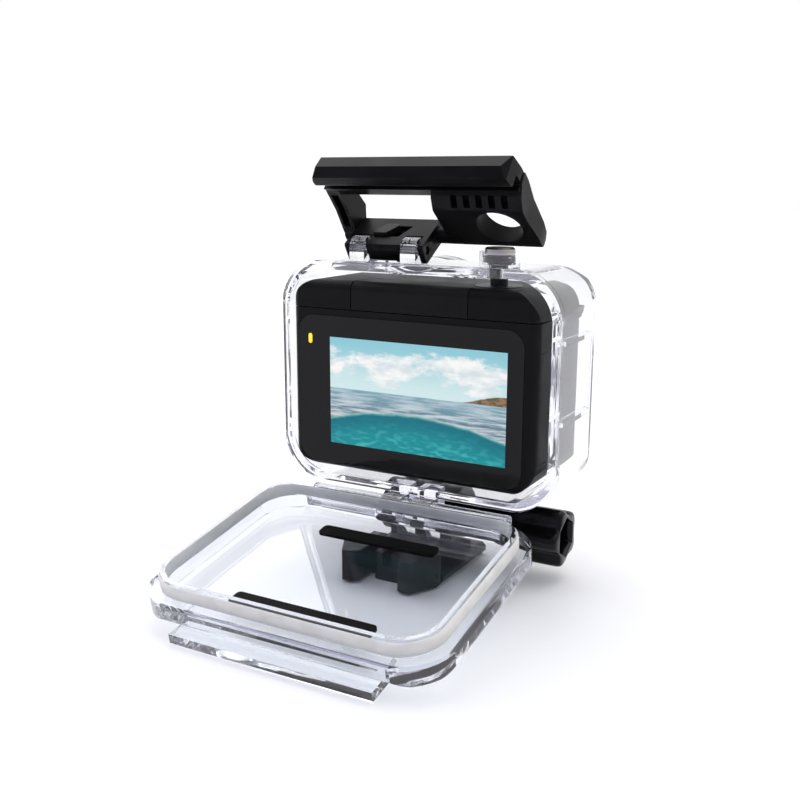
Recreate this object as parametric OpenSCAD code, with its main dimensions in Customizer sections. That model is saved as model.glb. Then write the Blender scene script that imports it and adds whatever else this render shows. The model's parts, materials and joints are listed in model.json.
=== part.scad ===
/* [Camera body] */
// Width of the camera body across the screen
body_w = 61.4; // [50:0.1:76]
// Height of the camera body
body_h = 44; // [38:0.1:56]
// Depth of the camera body without its lens
body_d = 23; // [19:0.1:30]
// Corner radius of the body seen from behind
body_r = 7; // [5:0.5:9]
// Rounding of the body's rear edge
body_edge = 2.2; // [1:0.1:3]
// Depth of the rear frame, from the screen forward
rear_frame_d = 9; // [7:0.5:11]
// Wall of the camera's own plastic shells
camera_wall = 1.6; // [1.2:0.1:2]
// Gap between two plastic covers of the camera
seam = 0.2; // [0.1:0.05:0.3]

/* [Screen] */
// Width of the rear cover glass
glass_w = 56.6; // [48:0.1:57.5]
// Height of the rear cover glass
glass_h = 34.6; // [30:0.1:37]
// Thickness of the rear cover glass
glass_t = 0.8; // [0.5:0.1:1.2]
// Distance from the underside of the body up to the glass
glass_up = 1.3; // [1:0.1:3]
// Width of the lit picture, 16:9
picture_w = 44.3; // [36:0.1:46]
// How far the picture sits to the right of the body's middle
picture_x = 1.9; // [0:0.1:4]

/* [Camera lens and controls] */
// Lens axis, left of the body's middle when seen from behind
lens_x = -9; // [-14:0.5:-6]
// Lens axis above the body's middle
lens_up = 8.6; // [6:0.1:10]
// Radius of the lens surround
lens_r = 11; // [8:0.1:12]
// How far the lens surround stands in front of the body
lens_out = 6; // [4:0.1:8]
// Radius of the camera's shutter button
shutter_r = 5.2; // [3:0.1:6]
// How far the shutter button stands above the body
shutter_out = 0.15; // [0.1:0.05:0.2]
// How far the side button stands out of the body
side_out = 0.5; // [0.3:0.1:0.8]
// Travel of the shutter button and of the plunger above it
press_travel = 0.8; // [0.5:0.1:1.2]
// Travel of the side button
side_travel = 0.4; // [0.3:0.1:0.6]

/* [Housing shell] */
// Gap round the camera body inside the door's raised wall
camera_gap = 0.3; // [0.2:0.05:0.8]
// Wall of the clear shell
shell_wall = 1.6; // [1.2:0.1:2.4]
// Depth of the clear front shell
shell_d = 25.5; // [25:0.1:34]
// How far the rim stands proud of the shell all round
rim_lip = 0.5; // [0.3:0.1:1.5]
// Depth of the rim
rim_d = 2.2; // [1.5:0.1:4]
// Rounding of the shell's front edge
shell_edge = 4; // [2:0.5:6]
// Height of the shell's underside above the ground
shell_up = 18.5; // [17.5:0.1:26]
// How far the screen stands behind the parting plane
screen_back = 2; // [1:0.1:3]
// Outer radius of the lens port
port_r = 17.2; // [15.5:0.1:19]
// How far the lens port stands in front of the shell
port_out = 8.2; // [5:0.1:10]
// Wall of the lens port
port_wall = 2.6; // [2:0.1:3]

/* [Door] */
// Angle that the door stands open, from closed
door_open = 101; // [95:1:104]
// Door hinge axis below the rim
hinge_down = 2.2; // [2:0.1:3]
// Door hinge axis behind the parting plane
hinge_back = 1.5; // [1:0.1:2]
// Radius of the hinge barrel
barrel_r = 1.9; // [1.6:0.1:2]
// Radius of the hinge pin
hinge_pin_r = 0.8; // [0.6:0.05:1]
// Thickness of the flat window
window_t = 1.6; // [1.2:0.1:2.4]
// Height of the raised wall above the door's flange
plug_h = 3.4; // [2.5:0.1:4]
// Thickness of the raised wall
plug_wall = 1; // [0.8:0.1:1.4]
// Gap that the raised wall keeps from the camera as the door swings
swing_gap = 0.1; // [0.05:0.05:0.3]
// How far the wall's clear edge shows beyond the gasket
gasket_short = 0.5; // [0.3:0.1:1]
// Thickness of the gasket sleeve
gasket_t = 0.55; // [0.4:0.05:0.8]
// Gap between gasket and mouth
gasket_gap = 0.35; // [0.3:0.05:0.6]
// Length of the catch lip that the hook grips
lip_len = 46; // [40:0.5:47]
// Height of the catch lip beyond the rim
lip_h = 3; // [2.6:0.1:4]
// Thickness of the catch lip
lip_t = 2; // [1.6:0.1:2.4]

/* [Latch] */
// Middle of the hook and lip, right of the housing's middle
hook_x = 1.3; // [0:0.1:2]
// Middle of the rocker, left of the housing's middle
rocker_x = -9; // [-10:0.5:-8]
// Width of the rocker
rocker_w = 20.2; // [18:0.1:21]
// Rocker pivot above the shell's top
rocker_up = 3.2; // [3:0.1:4]
// Rocker pivot in front of the parting plane
rocker_y = 5.1; // [4.5:0.1:6]
// Radius of the clear knuckles
knuckle_r = 2.8; // [2.4:0.1:3]
// Width of each clear knuckle
knuckle_w = 3.8; // [3:0.1:4.5]
// Distance from the rocker pivot to the hook pivot
link = 6.5; // [6:0.1:7]
// Angle that the rocker is lifted
rocker_open = 32; // [20:1:45]
// Angle that the hook arm is lifted above level
hook_open = 38; // [30:1:50]
// Height of the open door's lip above the ground
lip_clear = 0.4; // [0:0.1:1]
// Thickness of the hook bar's wall behind the lip
hook_wall = 4; // [3:0.1:5]
// Length of the hook bar
bar_len = 47.2; // [46:0.2:50]
// Radius of the two latch pins
latch_pin_r = 0.9; // [0.7:0.05:1.1]
// Running gap of a pin in a moving bore
pin_gap = 0.05; // [0.02:0.01:0.1]
// Gap between two plastic parts that slide past each other
side_gap = 0.25; // [0.2:0.05:0.4]
// Travel of the lock slider
slider_travel = 2.4; // [1.5:0.1:3]

/* [Shutter plunger] */
// Plunger axis, right of the housing's middle
plunger_x = 18.1; // [16:0.1:20]
// Plunger axis in front of the parting plane
plunger_y = 6.1; // [5.8:0.1:7]
// Outer radius of the clear boss
boss_r = 4.4; // [4.2:0.1:4.8]
// Height of the clear boss
boss_h = 3.6; // [3:0.1:4]
// Radius of the plunger stem
stem_r = 1.9; // [1.2:0.1:2]
// Radius of the plunger's cap
cap_r = 3.3; // [3:0.1:3.5]
// Half section of the plunger's O-ring
seal_section = 0.4; // [0.35:0.05:0.5]

/* [Mount] */
// Height of the thumb screw's axis above the ground
mount_up = 10.2; // [9.8:0.1:12]
// Thumb screw's axis in front of the parting plane
mount_y = 11.8; // [10:0.1:14]
// Radius of the mount prongs
prong_r = 6.6; // [6:0.1:7.2]
// Thickness of each prong
prong_t = 3; // [2.6:0.1:3.2]
// Gap between two prongs that pass each other
prong_gap = 0.3; // [0.2:0.05:0.4]
// Radius of the thumb screw's thread
screw_r = 2.45; // [2:0.05:2.6]
// Thickness of the buckle's foot
foot_t = 3.1; // [2.5:0.1:3.2]
// Half length of the foot
foot_half = 16; // [15:0.5:18]
// Width of the foot over its two rails
foot_w = 22; // [20:0.5:26]
// Height of the snap arms' tips
arm_h = 7.6; // [6:0.1:8]
// Thumb knob's outer face, right of the housing's middle
knob_end = 33.5; // [30:0.5:36]
// Radius of the thumb knob over its lobes
knob_r = 7; // [6:0.1:8]

/* [Hidden] */
$fn = 64;
eps = 0.01;
// camera and shell
plug_in_w = body_w + 2 * camera_gap;
plug_in_h = body_h + 2 * camera_gap;
plug_out_w = plug_in_w + 2 * plug_wall;
plug_out_h = plug_in_h + 2 * plug_wall;
mouth_w = plug_out_w + 2 * (gasket_t + gasket_gap);
mouth_h = plug_out_h + 2 * (gasket_t + gasket_gap);
shell_w = mouth_w + 2 * shell_wall;
shell_h = mouth_h + 2 * shell_wall;
camera_up = shell_up + shell_h / 2;
screen_y = -screen_back;
front_y = screen_y + body_d;
body_top = camera_up + body_h / 2;
body_low = camera_up - body_h / 2;
glass_z = body_low + glass_up + glass_h / 2;
glass_x = -0.5;
picture_h = picture_w * 9 / 16;
lens_z = camera_up + lens_up;
frame_joint_y = screen_y + rear_frame_d;
strip_z = body_top - 6.6;
strip_half = 14.6;
rim_w = shell_w + 2 * rim_lip;
rim_h = shell_h + 2 * rim_lip;
plug_in_r = body_r + camera_gap;
plug_out_r = plug_in_r + plug_wall;
mouth_r = plug_out_r + gasket_t + gasket_gap;
shell_r = mouth_r + shell_wall;
rim_r = shell_r + rim_lip;
shell_top = camera_up + shell_h / 2;
shell_low = camera_up - shell_h / 2;
rim_top = camera_up + rim_h / 2;
rim_low = camera_up - rim_h / 2;
inner_front = shell_d - shell_wall;
port_seat = shell_d + port_out - 2.4;
port_seal_r = 0.35;
ring_t = 0.9;
groove_out = 1.6;
rib_t = 1;
rib_gap = 0.3;
// door, closed
hinge_y = -hinge_back;
hinge_z = rim_low - hinge_down;
flange_y = -0.2;
pad_t = 0.7;
pad_x = 0.4;
window_in = screen_y - pad_t - 0.2;
window_out = window_in - window_t;
barrel_half = 25;
hinge_block_in = 1.2;
hinge_block_out = 6.2;
lip_back = (hinge_z - lip_clear - (rim_top + lip_h - hinge_z) * sin(door_open - 90)) / cos(door_open - 90);
lip_y = hinge_y - lip_back;
// latch, closed
rocker_z = shell_top + rocker_up;
rocker_l = rocker_x - rocker_w / 2;
rocker_r = rocker_x + rocker_w / 2;
rocker_back = -1.8;
rocker_top = 2.2;
rocker_low = -2.5;
rocker_far = 10.6;
knuckle_off = rocker_w / 2 - 1.6 - knuckle_w / 2;
link_drop = -2.6;
hook_y = rocker_y + link * cos(link_drop);
hook_z = rocker_z + link * sin(link_drop);
arm_low = -1.5;
arm_top = 2.2;
arm_w = 3.4;
bar_rear = lip_y - 0.4 - hook_wall - hook_y;
bar_front = lip_y + lip_t + 1.6 - hook_y;
bar_top = 5.2;
bar_low = rim_top - hook_z + 1.8;
lip_slot_top = rim_top + lip_h + 2 - hook_z;
web_top = 6.2;
panel_l = rocker_r + side_gap + 3;
panel_r = hook_x + bar_len / 2 + 0.3;
panel_front = 2;
panel_bend = -8;
tooth_y = -11;
tooth_w = 1.5;
tooth_step = 2.9;
hole_r = boss_r + 0.8;
slot_in = knuckle_off - knuckle_w / 2 - side_gap;
slot_w = knuckle_w + 2 * side_gap;
slider_half = slot_in - 0.2;
slider_w = 2 * slider_half - slider_travel;
slider_skew = 2;
slider_d = 3.6;
slider_y = rocker_y + 2;
leg_w = 3.4;
leg_d = 1.2;
// plunger
boss_top = shell_top + boss_h;
cap_top = boss_top + 0.9;
cap_low = boss_top - 0.6;
cap_hollow = 15;
collar_t = 0.4;
collar_r = stem_r + 0.6;
well_r = cap_r + 0.4;
well_low = cap_low - collar_t - press_travel - 2 * seal_section - 0.1;
stem_low = body_top + shutter_out + 0.1;
clip_t = 0.4;
wire_r = 0.2;
coil_r = stem_r + pin_gap + 2 * seal_section + wire_r + 0.3;
coil_turns = 3;
coil_steps = 20;
wire_sides = 8;
// mount
prong_step = prong_t + prong_gap;
bore_r = screw_r + 0.1;
knob_neck = 20;
knob_x = 2 * prong_step + prong_t / 2 + 0.2;
hub_r = 4.4;
hex_r = 4.6;
nut_t = 3.2;
nut_room = 0.1;
nut_x = -2 * prong_step - prong_t / 2 - nut_t - nut_room;
// camera, inside
button_gap = 0.15;
button_t = 0.9;
side_y = frame_joint_y - 3.5;
side_d = 3.2;
side_z = body_low + 8.2;
side_h = 6;
glass_r = 4;
glass_gap = 0.1;
window_w = 15;
window_h = 20;
window_x = body_w / 2 - 13;
board_w = body_w - 2 * camera_wall - 1.6;
board_h = body_h - 2 * camera_wall - 6;
board_y = screen_y + 4.6;
board_t = 1;
spreader_t = 0.8;
battery_w = 22;
battery_h = board_h - 0.8;
battery_d = 9;
barrel_back = front_y - 9;
frame_screw_r = 1.1;
frame_screw_x = 24;

function ring(n, r, a0 = 0) = [for (i = [0 : n - 1]) [r * cos(a0 + i * 360 / n), r * sin(a0 + i * 360 / n)]];

// a flat shape drawn as (X, Z) and pushed from y0 to y1
module along_y(y0, y1) {
    translate([0, y1, 0]) rotate([90, 0, 0]) linear_extrude(y1 - y0) children();
}
// a flat shape drawn as (Y, Z) and pushed from x0 to x1
module along_x(x0, x1) {
    translate([x0, 0, 0]) rotate([90, 0, 90]) linear_extrude(x1 - x0) children();
}
// a flat shape drawn as (X, Y) and pushed from z0 to z1
module along_z(z0, z1) {
    translate([0, 0, z0]) linear_extrude(z1 - z0) children();
}
module pin_x(x0, x1, y, z, r) {
    translate([x0, y, z]) rotate([0, 90, 0]) cylinder(h = x1 - x0, r = r);
}
module disc_y(y0, y1, x, z, r) {
    translate([x, y1, z]) rotate([90, 0, 0]) cylinder(h = y1 - y0, r = r);
}
// a rectangle whose left and right pairs of corners have their own radii
module rounded(x0, x1, y0, y1, r_left, r_right) {
    translate([x0 + r_left, y0]) square([x1 - x0 - r_left - r_right, y1 - y0]);
    translate([x0, y0 + r_left]) square([r_left + eps, y1 - y0 - 2 * r_left]);
    translate([x1 - r_right - eps, y0 + r_right]) square([r_right + eps, y1 - y0 - 2 * r_right]);
    for (y = [y0 + r_left, y1 - r_left]) translate([x0 + r_left, y]) circle(r_left);
    for (y = [y0 + r_right, y1 - r_right]) translate([x1 - r_right, y]) circle(r_right);
}
module plate(w, h, r, x = 0, z = camera_up) {
    rounded(x - w / 2, x + w / 2, z - h / 2, z + h / 2, r, r);
}
// a box rounded as seen from behind, and on its rear and front edges
module soft_box(w, h, r, y0, y1, rear, front) {
    intersection() {
        along_y(y0, y1) plate(w, h, r);
        along_x(-w, w) rounded(y0, y1, camera_up - h / 2, camera_up + h / 2, rear, front);
        along_z(camera_up - h, camera_up + h) rotate(90) mirror([0, 1])
            rounded(y0, y1, -w / 2, w / 2, rear, front);
    }
}
module turned(y, z, angle) {
    translate([0, y, z]) rotate([angle, 0, 0]) translate([0, -y, -z]) children();
}
module door_place() { turned(hinge_y, hinge_z, door_open) children(); }
module rocker_place() { turned(rocker_y, rocker_z, rocker_open) children(); }
module hook_place() {
    rocker_place() turned(hook_y, hook_z, -rocker_open - hook_open) children();
}

// ---- housing ----
module front_shell() {
    color([0.86, 0.9, 0.95, 0.4]) difference() {
        union() {
            soft_box(shell_w, shell_h, shell_r, 0, shell_d, eps * 2, shell_edge);
            soft_box(rim_w, rim_h, rim_r, 0, rim_d, 0.5, 0.7);
            disc_y(shell_d - shell_edge, shell_d + port_out, lens_x, lens_z, port_r);
            translate([plunger_x, plunger_y, shell_top - 1]) cylinder(h = boss_h + 1, r = boss_r);
            for (s = [-1, 1]) knuckle(rocker_x + s * knuckle_off);
            for (s = [-1, 1]) hinge_block(s);
            for (s = [-1, 1]) prong(s * prong_step);
            along_x(rocker_x - 2.2, rocker_x + 2.2) translate([0.2, shell_top - 1]) square([1.4, 2]);
        }
        difference() {
            soft_box(mouth_w, mouth_h, mouth_r, -2, inner_front, eps * 2, 3);
            for (s = [-1, 1], z = [camera_up - 6.8, camera_up + 10.7]) locating_rib(s, z);
        }
        disc_y(0, port_seat, lens_x, lens_z, port_r - port_wall);
        disc_y(port_seat, shell_d + port_out + 1, lens_x, lens_z, port_r - port_wall / 2);
        snap_groove();
        translate([plunger_x, plunger_y, well_low]) cylinder(h = boss_top, r = well_r);
        translate([plunger_x, plunger_y, shell_top - 4]) cylinder(h = 6, r = stem_r + pin_gap);
        pin_x(-rocker_w * 2, rocker_w, rocker_y, rocker_z, latch_pin_r);
        pin_x(-barrel_half, barrel_half, hinge_y, hinge_z, hinge_pin_r);
        pin_x(-10, 10, mount_y, mount_up, bore_r);
    }
}
// a rib inside the side wall that centres the camera
module locating_rib(side, z) {
    reach = (mouth_w - body_w) / 2 - rib_gap;
    translate([side > 0 ? body_w / 2 + rib_gap : -mouth_w / 2 - 1, rim_d + 3, z - rib_t / 2])
        cube([reach + 1, shell_d, rib_t]);
}
// a groove round the port that a slip-on filter clicks into
module snap_groove() {
    difference() {
        disc_y(shell_d + groove_out, shell_d + groove_out + 1, lens_x, lens_z, port_r + 1);
        disc_y(shell_d, shell_d + port_out, lens_x, lens_z, port_r - 0.5);
    }
}
module knuckle(x) {
    along_x(x - knuckle_w / 2, x + knuckle_w / 2) {
        translate([rocker_y, rocker_z]) circle(knuckle_r);
        translate([rocker_y - knuckle_r, shell_top - 1]) square([2 * knuckle_r, rocker_up + 1]);
    }
}
module hinge_block(side) {
    x0 = side > 0 ? hinge_block_in : -hinge_block_out;
    along_x(x0, x0 + hinge_block_out - hinge_block_in) {
        translate([hinge_y, hinge_z]) circle(barrel_r);
        translate([hinge_y, hinge_z - barrel_r]) square([6.5, barrel_r + hinge_down - 0.3]);
        translate([0.6, hinge_z]) square([4.4, shell_low - hinge_z + 1]);
    }
}
module prong(x) {
    along_x(x - prong_t / 2, x + prong_t / 2) {
        translate([mount_y, mount_up]) circle(prong_r);
        translate([mount_y - prong_r, mount_up]) square([2 * prong_r, shell_low - mount_up + 1]);
    }
}
module port_seal() {
    color("black") translate([lens_x, port_seat + port_seal_r, lens_z]) rotate([90, 0, 0])
        rotate_extrude() translate([port_r - port_wall * 0.75, 0]) circle(port_seal_r);
}
module port_glass() {
    color([0.9, 0.95, 1, 0.3]) disc_y(port_seat + 2 * port_seal_r, shell_d + port_out - 0.02,
        lens_x, lens_z, port_r - port_wall / 2 - 0.05);
}
module port_ring() {
    color([0.86, 0.9, 0.95, 0.4]) difference() {
        disc_y(shell_d + port_out, shell_d + port_out + ring_t, lens_x, lens_z, port_r);
        disc_y(shell_d, shell_d + port_out + 2, lens_x, lens_z, port_r - port_wall - 0.2);
    }
}
module door_hinge_pin() {
    color("silver") pin_x(-barrel_half + 1, barrel_half - 1, hinge_y, hinge_z, hinge_pin_r);
}
module latch_pin() {
    color("silver") pin_x(rocker_l + 0.6, rocker_r - 0.6, rocker_y, rocker_z, latch_pin_r);
}

// ---- door ----
module door_shell() {
    color([0.86, 0.9, 0.95, 0.4]) door_place() difference() {
        union() {
            soft_box(rim_w, rim_h, rim_r, window_out, flange_y, 1.8, 1.2);
            along_y(window_out + 1, plug_h + flange_y) plate(plug_out_w, plug_out_h, plug_out_r);
            catch_lip();
            for (s = [-1, 1]) barrel(s * (hinge_block_out + side_gap), s * barrel_half);
            barrel(-hinge_block_in + side_gap, hinge_block_in - side_gap);
        }
        along_y(window_in, 9) plate(plug_in_w, plug_in_h, plug_in_r);
        pin_x(-barrel_half * 2, barrel_half * 2, hinge_y, hinge_z, hinge_pin_r + pin_gap);
        swing_relief();
    }
}
// what the camera's lower edge would cut from the raised wall as the door swings on its hinge
module swing_relief() {
    r0 = body_low - hinge_z - swing_gap;
    half = body_w / 2 + swing_gap;
    r = body_r + swing_gap;
    intersection() {
        translate([0, hinge_y, hinge_z]) rotate([0, 90, 0]) rotate_extrude()
            rounded(r0, r0 + body_h, -half, half, r, r);
        translate([-rim_w, 0, hinge_z]) cube([2 * rim_w, 9, camera_up - hinge_z]);
    }
}
module catch_lip() {
    along_x(hook_x - lip_len / 2, hook_x + lip_len / 2)
        translate([lip_y, rim_top - 6]) square([lip_t, lip_h + 6]);
}
module barrel(xa, xb) {
    along_x(min(xa, xb), max(xa, xb)) {
        translate([hinge_y, hinge_z]) circle(barrel_r);
        translate([hinge_y - barrel_r, hinge_z]) square([2 * barrel_r - 0.7, hinge_down + 1]);
    }
}
module door_gasket() {
    color([0.8, 0.8, 0.77]) door_place() difference() {
        along_y(flange_y, flange_y + plug_h - gasket_short)
            plate(plug_out_w + 2 * gasket_t, plug_out_h + 2 * gasket_t, plug_out_r + gasket_t);
        along_y(-3, 9) plate(plug_out_w, plug_out_h, plug_out_r);
        swing_relief();
    }
}
module door_pad(z, half) {
    color([0.03, 0.03, 0.03]) door_place() along_y(window_in, window_in + pad_t)
        plate(2 * half, 3.6, 1, pad_x, z);
}
module door_pad_upper() { door_pad(body_top - 6.5, 16.5); }
module door_pad_lower() { door_pad(hinge_z + 14.5, 14.5); }

// ---- latch ----
module latch_rocker() {
    color([0.06, 0.06, 0.06]) rocker_place() difference() {
        along_x(rocker_l, rocker_r) rocker_profile();
        for (s = [-1, 1]) knuckle_slot(rocker_x + s * knuckle_off);
        along_x(rocker_x - 2.6, rocker_x + 2.6) translate([rocker_y - 5, rocker_z - 5]) square([5, 3.1]);
        pin_x(rocker_l - 1, rocker_r + 1, rocker_y, rocker_z, latch_pin_r + pin_gap);
        pin_x(rocker_l - 1, rocker_r + 1, hook_y, hook_z, latch_pin_r);
        slider_well();
    }
}
module rocker_profile() {
    translate([rocker_y, rocker_z]) polygon([[rocker_back + 0.4, rocker_top], [rocker_far - 1.8, rocker_top],
        [rocker_far, rocker_low + 1], [rocker_far, rocker_low], [rocker_back + 0.3, rocker_low],
        [rocker_back, rocker_low + 0.4], [rocker_back, rocker_top - 0.4]]);
}
// the room that a clear knuckle takes in the rocker
module knuckle_slot(x) {
    x0 = x - slot_w / 2;
    room = knuckle_r + 0.3;
    pin_x(x0, x0 + slot_w, rocker_y, rocker_z, room);
    translate([x0, rocker_y - 5, rocker_z - 5]) cube([slot_w, 5 + room, 5]);
}
// a parallelogram in plan, from x0 to x0 + w at its rear, leaning to the right
module leaning(x0, w, y0, d) {
    polygon([[x0, y0], [x0 + w - slider_skew, y0], [x0 + w, y0 + d], [x0 + slider_skew, y0 + d]]);
}
module slider_well() {
    along_z(rocker_z + rocker_top - 1, rocker_z + rocker_top + 1)
        leaning(rocker_x - slot_in, 2 * slot_in, slider_y - side_gap, slider_d + 2 * side_gap);
    translate([rocker_x - slider_half + slider_skew / 2 - side_gap, slider_y + 1, rocker_z + rocker_low - 1])
        cube([leg_w + slider_travel + 2 * side_gap, leg_d + 2 * side_gap, 6]);
}
module lock_slider() {
    x0 = rocker_x - slider_half;
    x1 = x0 + slider_w;
    y1 = slider_y + slider_d;
    c = 0.6;
    color([0.1, 0.1, 0.1]) rocker_place() {
        along_z(rocker_z + rocker_top - 0.8, rocker_z + rocker_top + 0.8)
            polygon([[x0 + c / 2, slider_y], [x1 - slider_skew - c, slider_y], [x1 - slider_skew, slider_y + c],
                [x1 - c / 2, y1 - c], [x1 - c, y1], [x0 + slider_skew + c, y1], [x0 + slider_skew, y1 - c],
                [x0, slider_y + c / 2]]);
        translate([x0 + slider_skew / 2, slider_y + 1 + side_gap, rocker_z + rocker_low + 0.4])
            cube([leg_w, leg_d, rocker_top - rocker_low - 0.6]);
    }
}
module hook_pin() {
    color("silver") rocker_place() pin_x(rocker_l - side_gap - arm_w + 0.6, panel_l + 3,
        hook_y, hook_z, latch_pin_r);
}
module hook_arm() {
    color([0.05, 0.05, 0.05]) hook_place() difference() {
        union() {
            bar();
            arm_left();
            panel();
        }
        pin_x(rocker_l - 20, panel_l + 3.2, hook_y, hook_z, latch_pin_r + pin_gap);
        translate([plunger_x, plunger_y, rim_top]) cylinder(h = 20, r = hole_r);
    }
}
module bar() {
    x0 = hook_x - bar_len / 2;
    intersection() {
        along_x(x0, x0 + bar_len) translate([hook_y, hook_z]) difference() {
            polygon([[bar_rear + 1.2, bar_top], [bar_front + 3, bar_top], [bar_front + 3, lip_slot_top],
                [bar_rear + 3.4, bar_low], [bar_rear + 1, bar_low], [bar_rear, bar_low + 2.3]]);
            translate([lip_y - 0.4 - hook_y, bar_low - 3])
                square([lip_t + 0.7, lip_slot_top - bar_low + 3]);
        }
        along_z(hook_z - 20, hook_z + 20) polygon([
            [x0 + 1, hook_y + bar_rear], [x0 + bar_len - 2, hook_y + bar_rear],
            [x0 + bar_len - 0.6, hook_y + bar_rear + 1.4], [x0 + bar_len, hook_y + bar_rear + 5],
            [x0 + bar_len, hook_y + 9], [x0, hook_y + 9], [x0, hook_y + bar_rear + 2.4]]);
    }
}
module arm_left() {
    x1 = rocker_l - side_gap;
    difference() {
        along_x(x1 - arm_w, x1) translate([hook_y, hook_z]) {
            circle(2.2);
            polygon([[bar_front - 0.5, bar_top], [bar_front + 4, web_top], [-2.5, web_top], [2, 1.2],
                [1.6, -1.4], [-2, -1.4], [bar_front + 6, 0.5], [bar_front - 0.5, lip_slot_top - 1]]);
        }
        along_x(x1 - arm_w + 0.8, x1 - 0.9) translate([hook_y, hook_z])
            polygon([[bar_front + 1.6, bar_top - 1.4], [-3.4, 1.6], [-3.4, -4], [bar_front + 1.6, -4]]);
    }
}
module panel() {
    difference() {
        union() {
            intersection() {
                along_x(panel_l, panel_r + 1) translate([hook_y, hook_z]) panel_profile();
                along_z(hook_z - 9, hook_z + 9) polygon([[panel_l, hook_y - 20], [panel_r, hook_y - 20],
                    [panel_r, hook_y + panel_bend], [panel_r + 0.8, hook_y + panel_bend + 6],
                    [panel_r + 0.8, hook_y + panel_front - 1.4], [panel_r - 0.4, hook_y + 9],
                    [panel_l + 1.2, hook_y + 9], [panel_l, hook_y - 1]]);
            }
            along_x(rocker_r + side_gap, panel_l + 3) translate([hook_y, hook_z]) circle(1.9);
        }
        for (i = [0 : 4])
            translate([panel_l + 4.6 + i * tooth_step, hook_y + tooth_y - 2.9, hook_z + arm_low - 1])
                cube([tooth_w, 2.3, 3.4]);
    }
}
module panel_profile() {
    roof = lip_slot_top - 0.4;
    polygon([[bar_front - 1.5, bar_top], [bar_front + 1, bar_top], [panel_front - 1, arm_top],
        [panel_front, arm_top - 1.2], [panel_front, arm_low + 0.8], [panel_front - 0.8, arm_low],
        [tooth_y, arm_low], [tooth_y - 2.6, arm_low + 1.6], [bar_front - 1, roof], [bar_front - 1.5, roof]]);
}

// ---- shutter plunger ----
module plunger_stem() {
    color([0.1, 0.1, 0.1]) translate([plunger_x, plunger_y, 0]) {
        translate([0, 0, stem_low]) cylinder(h = cap_low - stem_low, r = stem_r);
        translate([0, 0, cap_low - collar_t]) cylinder(h = collar_t, r = collar_r);
    }
}
module plunger_cap() {
    color("silver") translate([plunger_x, plunger_y, 0]) difference() {
        union() {
            translate([0, 0, cap_low]) cylinder(h = cap_top - cap_low - 0.4, r = cap_r);
            translate([0, 0, cap_top - 0.4]) cylinder(h = 0.4, r1 = cap_r, r2 = cap_r - 0.4);
        }
        translate([0, 0, cap_top + cap_hollow - 0.3]) sphere(r = cap_hollow, $fn = 96);
    }
}
module plunger_spring() {
    k = wire_sides;
    last = coil_turns * coil_steps;
    z0 = well_low + wire_r + 0.02;
    rise = cap_low - well_low - 2 * wire_r - 0.06;
    pts = [for (i = [0 : last], j = [0 : k - 1]) let (a = i * 360 / coil_steps, b = j * 360 / k)
        [(coil_r + wire_r * cos(b)) * cos(a), (coil_r + wire_r * cos(b)) * sin(a),
            z0 + rise * i / last + wire_r * sin(b)]];
    sides = [for (i = [0 : last - 1], j = [0 : k - 1])
        [i * k + j, (i + 1) * k + j, (i + 1) * k + (j + 1) % k, i * k + (j + 1) % k]];
    ends = [[for (j = [0 : k - 1]) j], [for (j = [0 : k - 1]) last * k + k - 1 - j]];
    color("silver") translate([plunger_x, plunger_y, 0]) polyhedron(pts, concat(sides, ends));
}
module plunger_seal() {
    color("black") translate([plunger_x, plunger_y, well_low + seal_section])
        rotate_extrude() translate([stem_r + pin_gap + seal_section, 0]) circle(seal_section);
}
module plunger_clip() {
    color("silver") translate([plunger_x, plunger_y, shell_top - shell_wall - clip_t - 0.1]) difference() {
        cylinder(h = clip_t, r = stem_r + 1);
        translate([0, 0, -1]) cylinder(h = 3, r = stem_r);
        translate([0, -0.6, -1]) cube([5, 1.2, 3]);
    }
}

// ---- camera ----
module body_solid(y0, y1) {
    intersection() {
        soft_box(body_w, body_h, body_r, screen_y, front_y, body_edge, 2.4);
        translate([-100, y0, -100]) cube([200, y1 - y0, 300]);
    }
}
module camera_front_shell() {
    color([0.13, 0.13, 0.14]) difference() {
        body_solid(frame_joint_y, front_y);
        along_y(0, front_y - camera_wall)
            plate(body_w - 2 * camera_wall, body_h - 2 * camera_wall, body_r - camera_wall);
        disc_y(0, front_y + 1, lens_x, lens_z, lens_r - 1);
        along_y(front_y - 0.8, front_y + 1) front_window_shape(0.1);
        button_well();
        along_y(front_y - 5, front_y + 1) mic_holes(0.45);
    }
}
module front_window_shape(g) { plate(window_w + 2 * g, window_h + 2 * g, 2 + g, window_x, camera_up); }
module mic_holes(r) {
    for (i = [0 : 4], k = [0 : 1]) translate([body_w / 2 - 17 + i * 2, camera_up - 15.5 - k * 2]) circle(r);
}
module button_well() {
    floor_z = body_top + shutter_out - button_t - press_travel - 0.1;
    translate([plunger_x, plunger_y, floor_z]) cylinder(h = 4, r = shutter_r + button_gap);
}
module rear_solid() {
    difference() {
        body_solid(screen_y, frame_joint_y - seam / 4);
        along_y(screen_y + camera_wall, 30)
            plate(body_w - 2 * camera_wall, body_h - 2 * camera_wall, body_r - camera_wall);
        along_y(-9, 9) plate(glass_w + 2 * glass_gap, glass_h + 2 * glass_gap, glass_r + glass_gap,
            glass_x, glass_z);
        button_well();
    }
}
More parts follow.
